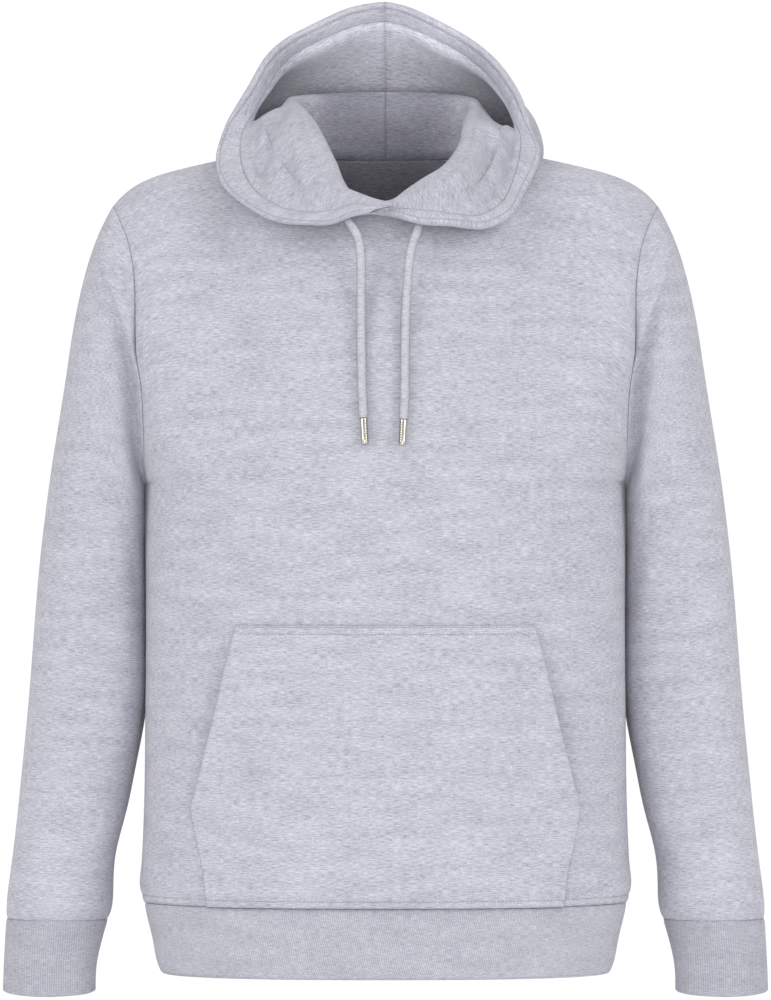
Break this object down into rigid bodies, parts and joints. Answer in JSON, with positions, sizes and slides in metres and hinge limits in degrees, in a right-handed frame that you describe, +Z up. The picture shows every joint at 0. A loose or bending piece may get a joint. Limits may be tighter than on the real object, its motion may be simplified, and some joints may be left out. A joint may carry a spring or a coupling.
{
  "type": "pullover hoodie",
  "caption": "Hollow pullover hoodie in heather grey fleece with a lined hood, kangaroo pocket, rib cuffs and hem, and two tipped drawcords.",
  "frame": {"origin": "midway between the two high shoulder points, where a wearer's neck and shoulders carry the garment", "axes": "+Z up, -Y out of the garment's front, +X to the right as seen from the front"},
  "size_m": [0.651, 0.3068, 0.8477],
  "materials": {
    "cloth": "brushed melange fleece",
    "rib": "melange 1x1 rib knit",
    "cord": "round braided cotton",
    "tip": "polished pale metal"
  },
  "bodies": {
    "root": {"front_panel": "cloth", "back_panel": "cloth", "sleeve_left": "cloth", "sleeve_right": "cloth", "hood_left": "cloth", "hood_right": "cloth", "hood_lining_left": "cloth", "hood_lining_right": "cloth", "pocket": "cloth", "cuff_left": "rib", "cuff_right": "rib", "hem_rib": "rib", "drawcord_left": "cord", "drawcord_right": "cord", "cord_tip_left": "tip", "cord_tip_right": "tip"}
  },
  "joints": []
}
